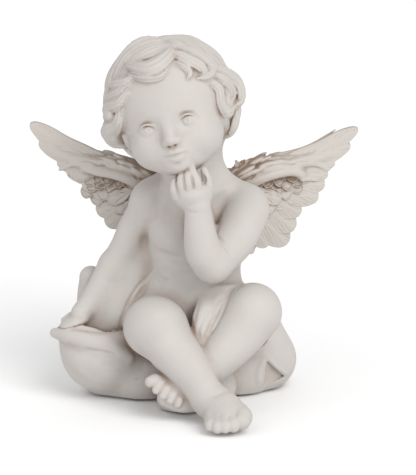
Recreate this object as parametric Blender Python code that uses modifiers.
"""Resin angel figurine: a seated winged child, its draped seat, two wings and four felt pads.

Lengths are millimetres and are built in metres. +Z is up and the child looks along -Y, so the
child's left side is at +X. The origin is the middle of the footprint, under the felt pads.
"""

import math

import bmesh
import bpy
from mathutils import Euler, Matrix, Vector

MM = 0.001

# Felt pads, which lift the castings off the table.
PAD_RADIUS = 5.0
PAD_HEIGHT = 1.2
PAD_PLACES = [(-33.0, 13.0), (25.0, 18.0), (-20.0, 40.0), (23.0, 40.0)]

# Glue joints between the castings.
JOINT_GAP = 0.35
TENON = (7.0, 11.0, 14.0)
TENON_TAPER = 0.82

# Head: the middle of the skull, and how it leans, turns and lifts.
HEAD_AT = Vector((-8.5, 1.5, 129.5))
HEAD_TURN = Euler([math.radians(a) for a in (-6.0, -17.0, -8.0)], "XYZ")

# Wings: both grow from the shoulder blades and sweep out and back.
WING_ROOT = Vector((13.0, 25.0, 83.0))
WING_SWEEP = 0.36
WING_CAMBER = 0.0035
# Name, side, and how far the feathers spread outwards and drop.
WINGS = [("wing_left", 1, 1.0, 1.0), ("wing_right", -1, 0.8, 0.7)]

FIGURE_VOXEL, FIGURE_TRIANGLES = 1.2, 6000
SEAT_VOXEL, SEAT_TRIANGLES = 1.5, 2600
WING_VOXEL, WING_TRIANGLES = 0.9, 1900


def clear_scene():
    for thing in list(bpy.data.objects):
        bpy.data.objects.remove(thing)


def new_collection(name):
    made = bpy.data.collections.new(name)
    bpy.context.scene.collection.children.link(made)
    return made


def finish_material(name, colour, roughness):
    made = bpy.data.materials.new(name)
    made.use_nodes = True
    shader = made.node_tree.nodes["Principled BSDF"]
    shader.inputs["Base Color"].default_value = (*colour, 1.0)
    shader.inputs["Roughness"].default_value = roughness
    shader.inputs["Metallic"].default_value = 0.0
    return made


class Clay:
    """Overlapping balls, limbs and plates that one skin is drawn over."""

    def __init__(self):
        self.shapes = bmesh.new()

    def ball(self, centre, radii, turn=(0.0, 0.0, 0.0)):
        """An ellipsoid, turned by degrees about X, Y and Z."""
        size = Vector((radii, radii, radii) if isinstance(radii, (int, float)) else radii)
        tilt = Euler([math.radians(a) for a in turn], "XYZ").to_matrix().to_4x4()
        place = Matrix.Translation(Vector(centre)) @ tilt @ Matrix.Diagonal((*size, 1.0))
        bmesh.ops.create_uvsphere(
            self.shapes, u_segments=20, v_segments=12, radius=1.0, matrix=place
        )

    def limb(self, *stations):
        """A tapering round limb through stations of (x, y, z, radius)."""
        for station in stations:
            self.ball(station[:3], station[3])
        for near, far in zip(stations, stations[1:]):
            a, b = Vector(near[:3]), Vector(far[:3])
            along = b - a
            place = Matrix.Translation((a + b) / 2) @ along.to_track_quat("Z", "Y").to_matrix().to_4x4()
            bmesh.ops.create_cone(
                self.shapes,
                cap_ends=True,
                segments=16,
                radius1=near[3],
                radius2=far[3],
                depth=along.length,
                matrix=place,
            )

    def fused(self, name, voxel, smoothing, triangles, home):
        """One closed skin over all the shapes, thinned to about this many triangles."""
        mesh = bpy.data.meshes.new(name)
        bmesh.ops.scale(self.shapes, vec=(MM, MM, MM), verts=self.shapes.verts)
        self.shapes.to_mesh(mesh)
        self.shapes.free()
        made = bpy.data.objects.new(name, mesh)
        home.objects.link(made)
        remesh = made.modifiers.new("skin", "REMESH")
        remesh.mode = "VOXEL"
        remesh.voxel_size = voxel * MM
        smooth = made.modifiers.new("soften", "SMOOTH")
        smooth.factor = 0.5
        smooth.iterations = smoothing
        thin = made.modifiers.new("thin", "DECIMATE")
        thin.ratio = min(1.0, triangles / (2 * skin_faces(made)))
        apply_modifiers(made)
        return made


def skin_faces(thing):
    """How many faces the object has with its modifiers."""
    return len(evaluated_mesh(thing).polygons)


def evaluated_mesh(thing):
    bpy.context.view_layer.update()
    graph = bpy.context.evaluated_depsgraph_get()
    return bpy.data.meshes.new_from_object(thing.evaluated_get(graph))


def apply_modifiers(thing):
    thing.data = evaluated_mesh(thing)
    thing.modifiers.clear()


def keep_largest_body(thing):
    """Drops the crumbs that a cut leaves beside the main body."""
    work = bmesh.new()
    work.from_mesh(thing.data)
    left = set(work.verts)
    bodies = []
    while left:
        reached = {left.pop()}
        edge_of = list(reached)
        while edge_of:
            vert = edge_of.pop()
            for edge in vert.link_edges:
                other = edge.other_vert(vert)
                if other not in reached:
                    reached.add(other)
                    edge_of.append(other)
        left -= reached
        bodies.append(reached)
    bodies.sort(key=len)
    crumbs = [vert for body in bodies[:-1] for vert in body]
    bmesh.ops.delete(work, geom=crumbs, context="VERTS")
    work.to_mesh(thing.data)
    work.free()


def cut(thing, cutter):
    """Takes the cutter's shape out of the object."""
    cutter.hide_render = True
    cutter.display_type = "WIRE"
    boolean = thing.modifiers.new("cut", "BOOLEAN")
    boolean.operation = "DIFFERENCE"
    boolean.object = cutter
    apply_modifiers(thing)
    keep_largest_body(thing)


def box(name, low, high, home):
    size = Vector(high) - Vector(low)
    bpy.ops.mesh.primitive_cube_add(size=1.0, location=(Vector(high) + Vector(low)) * MM / 2)
    made = bpy.context.active_object
    made.name = name
    made.scale = size * MM
    move_to(made, home)
    bpy.ops.object.transform_apply(location=False, rotation=False, scale=True)
    return made


def move_to(thing, home):
    for old in list(thing.users_collection):
        old.objects.unlink(thing)
    home.objects.link(thing)


def grown_copy(thing, by, home):
    """A cutter a little larger than the object, so that what it cuts keeps a glue gap."""
    made = bpy.data.objects.new(thing.name + "_clearance", thing.data.copy())
    home.objects.link(made)
    grow = made.modifiers.new("grow", "DISPLACE")
    grow.mid_level = 0.0
    grow.strength = by * MM
    apply_modifiers(made)
    return made


def in_head(x, y, z):
    """A point given in the head's own axes, in the figurine's frame."""
    return HEAD_AT + HEAD_TURN.to_matrix() @ Vector((x, y, z))


def model_torso(clay):
    clay.ball((1, 19, 28), (26, 19, 18))
    clay.ball((2, 13, 44), (23, 18, 18))
    clay.ball((1, 13, 57), (20.5, 16, 18))
    clay.ball((0, 13, 72), (20.5, 15.5, 18))
    for side in (-1, 1):
        clay.limb((1 + 6 * side, 15, 38, 17.5), (1 + 6 * side, 13, 58, 15.8), (5 * side, 13, 74, 15.2))
    clay.limb((-16, 13, 86, 9.5), (0, 14, 88, 11), (18, 12, 86, 9.5))
    clay.limb((0, 13, 90, 13), (-3, 9, 103, 12))
    clay.ball((-10, 29, 26), (15, 13, 16))
    clay.ball((12, 29, 26), (15, 13, 16))


def model_head(clay):
    lean = [math.degrees(a) for a in HEAD_TURN]
    clay.ball(HEAD_AT, (22.5, 24, 23), lean)
    clay.ball(in_head(0, -8, -11), (18.5, 15.5, 15.5), lean)
    clay.ball(in_head(0, -16, -21), (7, 6.5, 5.5), lean)
    clay.limb((*in_head(0, -22, 0), 2.0), (*in_head(0, -24, -6), 2.4))
    for side in (-1, 1):
        clay.ball(in_head(side * 9.5, -13, -11), 9)


def model_hair(clay):
    """The cap of hair and the wavy locks round it, in the head's own axes."""
    lean = [math.degrees(a) for a in HEAD_TURN]
    clay.ball(in_head(0, 4, 5), (26, 25.5, 26.5), lean)
    clay.ball(in_head(0, 16, -10), (22, 15, 16), lean)
    locks = [
        [(1, -19, 18, 4), (-12, -17, 15, 5), (-20, -11, 9, 6)],
        [(-21, -9, 9, 6), (-25, -3, 0, 6), (-27, 0, -8, 6), (-25, 3, -15, 5.5)],
        [(1, -19, 18, 4), (11, -17, 17, 5), (18, -12, 11, 6)],
        [(18, -11, 11, 6), (23, -5, 7, 6), (25, -2, -1, 6), (23, 1, -9, 5.5), (20, 3, -15, 5)],
        [(-22, 8, -12, 8), (-12, 17, -20, 8), (2, 20, -21, 8), (14, 15, -19, 8)],
    ]
    for lock in locks:
        clay.limb(*[(*in_head(x, y, z), radius) for x, y, z, radius in lock])


def model_arms(clay):
    # The child's left arm: the elbow is drawn in over the lap and the hand holds up the chin.
    clay.limb((19, 11, 84, 9.5), (22.5, 8, 84.5, 9.6), (18, -6, 76, 9.2), (8, -18, 67.3, 8.8))
    clay.limb((8, -18, 67.3, 8.8), (3.4, -22, 77, 7.4), (1.9, -22.5, 90, 6.0))
    clay.ball((3, -10, 80), (6, 10, 12))
    clay.ball((-0.5, -21, 98), (7.5, 6, 6.5))
    for step in range(4):
        clay.limb((-6 + 3.6 * step, -24, 100, 2.4), (-5.5 + 3.4 * step, -21, 106, 2.2))
    # The child's right arm: it props the body up on the seat.
    clay.limb((-17, 13, 86, 9.2), (-21, 13, 81, 7.8), (-26.5, 13, 74, 6.6), (-34.5, 14, 57, 6.8))
    clay.limb((-34.5, 14, 57, 6.8), (-39, 12.5, 49, 6.4), (-44, 10.5, 42.5, 5.2), (-48.5, 8, 38, 4.6))
    clay.ball((-52, 6, 34.8), (7.2, 6.6, 4.2), (0, -28, 0))


def model_legs(clay):
    # Right leg in front, with its foot on the table.
    clay.limb((-14, 18, 27, 15), (-17, -14, 37.5, 13.3))
    clay.limb((-12, -19, 37, 11.5), (-6, -26, 28, 9.6), (5, -33, 14, 7.2))
    clay.limb((5, -31, 9, 6.8), (12, -42, 8, 6.5))
    for step, reach in enumerate((0.0, 2.5, 4.0, 4.8, 4.5)):
        clay.limb(
            (8 + 3.0 * step, -42, 6.0 + 0.4 * step, 3.6),
            (7.5 + 3.8 * step, -48 - reach, 4.7 + 0.4 * step, 2.8 + 0.3 * step),
        )
    # Left leg behind it, folded flat, with its toes towards the child's right.
    clay.limb((17, 18, 27, 15), (25.5, -8, 42, 12.2))
    clay.limb((25, -10, 40, 12), (14, -18, 29, 9.6), (1, -23, 17, 7.4))
    clay.limb((2, -22, 13, 7), (-9, -31, 12, 6.8))
    for step in range(5):
        clay.limb(
            (-11 + 1.4 * step, -32, 15 - 2.0 * step, 3.0),
            (-18.5 + 2.7 * step, -35, 16.5 - 2.4 * step, 3.0 - 0.15 * step),
        )


def model_lap_cloth(clay):
    clay.limb((10, -2, 42, 8), (6, -9, 37, 7), (2, -15, 30, 6))
    clay.limb((12, 0, 47, 4.5), (20, 4, 49, 4.5))


def build_figure(home):
    clay = Clay()
    model_torso(clay)
    model_head(clay)
    model_hair(clay)
    model_arms(clay)
    model_legs(clay)
    model_lap_cloth(clay)
    return clay.fused("child_figure", FIGURE_VOXEL, 5, FIGURE_TRIANGLES, home)


def build_seat(home):
    clay = Clay()
    # The cushion under the child.
    clay.ball((2, 29, 9), (42, 27, 19))
    # The scooped fold under the right hand, with its rolled rim.
    clay.ball((-45, 9, 25), (15, 14, 9), (0, 18, 0))
    clay.ball((-36, 12, 11), (18, 13, 16))
    clay.ball((-22, 3, 10), (15, 12, 16))
    clay.limb((-58, 7, 31, 3.6), (-47, 0, 30, 4), (-35, -3, 27.5, 4), (-27, -5, 22, 4))
    # Cloth that stands up behind the right arm and fills the gap to the waist.
    clay.limb((-45, 23, 48, 5.5), (-43, 23, 34, 8), (-38, 21, 18, 11))
    clay.limb((-35, 21, 52, 5.5), (-35, 20, 38, 8), (-34, 18, 24, 10))
    clay.limb((-24, 19, 60, 6), (-27, 19, 44, 9), (-32, 16, 28, 11))
    # The folds behind the left knee and under the feet.
    clay.ball((30, 18, 16), (14, 15, 18))
    clay.ball((21, 9, 9), (15, 12, 12))
    clay.ball((2, -2, 7), (17, 15, 12))
    clay.ball((-7, -10, 4), (14, 10, 8))
    return clay.fused("seat_drape", SEAT_VOXEL, 8, SEAT_TRIANGLES, home)


def wing_point(side, out, up, lift=0.0):
    """A point of the wing's curved sheet, at out and up, lifted off its front face."""
    back = WING_SWEEP * (out - WING_ROOT.x) + WING_CAMBER * (up - WING_ROOT.z) ** 2
    return (side * out, WING_ROOT.y + back - lift, up)


def build_wing(name, side, spread, drop, home):
    """One wing: spread and drop scale how far its feathers reach out and down."""
    clay = Clay()
    leading_edge = [(14, 90, 6.0), (24, 95, 5.0), (38, 96, 4.2), (52, 103, 3.4), (67, 111, 2.4)]
    clay.limb(*[(*wing_point(side, out, up), radius) for out, up, radius in leading_edge])
    # Each feather runs from its quill to its tip, and its last number is the tip's radius.
    feathers = [
        (40, 97, 63, 107, 3.6), (38, 95, 58, 99, 3.8), (34, 93, 55, 91, 3.8),
        (30, 91, 52, 83, 4.0), (26, 89, 46, 75, 4.2), (23, 87, 42, 68, 4.4),
        (20, 85, 36, 64, 4.6), (17, 83, 29, 64, 4.4), (15, 81, 22, 67, 4.2),
        (22, 92, 45, 91, 4.2), (18, 89, 37, 81, 4.6), (16, 86, 28, 74, 4.6),
    ]
    for out, up, tip_out, tip_up, radius in feathers:
        tip_out = out + spread * (tip_out - out)
        tip_up = up + (drop if tip_up < up else 1.0) * (tip_up - up)
        for share in range(7):
            s = share / 6
            point = wing_point(side, out + s * (tip_out - out), up + s * (tip_up - up))
            clay.ball(point, (radius, 2.1, radius))
    clay.ball((side * 13, 25, 80), (5.5, 5, 13))
    return clay.fused(name, WING_VOXEL, 4, WING_TRIANGLES, home)


def wing_tenon(name, side, grow, home):
    """The tapered tongue that keys a wing into the back, or its mortise when grown."""
    width, depth, height = (size + 2 * grow for size in TENON)
    bpy.ops.mesh.primitive_cone_add(
        vertices=4,
        radius1=width / math.sqrt(2) * MM,
        radius2=width / math.sqrt(2) * TENON_TAPER * MM,
        depth=depth * MM,
        rotation=(0.0, 0.0, math.radians(45)),
    )
    made = bpy.context.active_object
    made.name = name
    bpy.ops.object.transform_apply()
    made.scale = (1.0, height / width, 1.0)
    made.rotation_euler = (math.radians(90), 0.0, 0.0)
    made.location = Vector((side * 11.0, 21.0, 80.0)) * MM
    bpy.ops.object.transform_apply()
    move_to(made, home)
    return made


def join_solids(thing, other):
    union = thing.modifiers.new("join", "BOOLEAN")
    union.operation = "UNION"
    union.object = other
    other.hide_render = True
    other.display_type = "WIRE"
    apply_modifiers(thing)
    keep_largest_body(thing)


def build_pad(name, place, material, home):
    bpy.ops.mesh.primitive_cylinder_add(
        vertices=32,
        radius=PAD_RADIUS * MM,
        depth=PAD_HEIGHT * MM,
        location=Vector((*place, PAD_HEIGHT / 2)) * MM,
    )
    pad = bpy.context.active_object
    pad.name = name
    pad.data.materials.append(material)
    move_to(pad, home)
    return pad


def main():
    clear_scene()
    parts = new_collection("angel_figurine")
    cutters = new_collection("cutters")
    resin = finish_material("cast_resin", (0.78, 0.75, 0.71), 0.6)
    washed_resin = finish_material("washed_resin", (0.72, 0.67, 0.61), 0.65)
    felt = finish_material("felt", (0.85, 0.84, 0.8), 0.95)

    figure = build_figure(parts)
    seat = build_seat(parts)
    clearance = grown_copy(figure, JOINT_GAP, cutters)
    under = box("ground_face", (-90, -90, -30), (90, 90, PAD_HEIGHT), cutters)
    cut(seat, clearance)
    cut(seat, under)
    cut(figure, under)
    wings = []
    for name, side, spread, drop in WINGS:
        wing = build_wing(name, side, spread, drop, parts)
        cut(wing, clearance)
        join_solids(wing, wing_tenon(name + "_tenon", side, 0.0, cutters))
        cut(figure, wing_tenon(name + "_mortise", side, JOINT_GAP, cutters))
        wings.append(wing)

    for casting in (figure, seat):
        casting.data.materials.clear()
        casting.data.materials.append(resin)
    for wing in wings:
        wing.data.materials.clear()
        wing.data.materials.append(washed_resin)
    for number, place in enumerate(PAD_PLACES, 1):
        build_pad(f"felt_pad_{number}", place, felt, parts)


main()
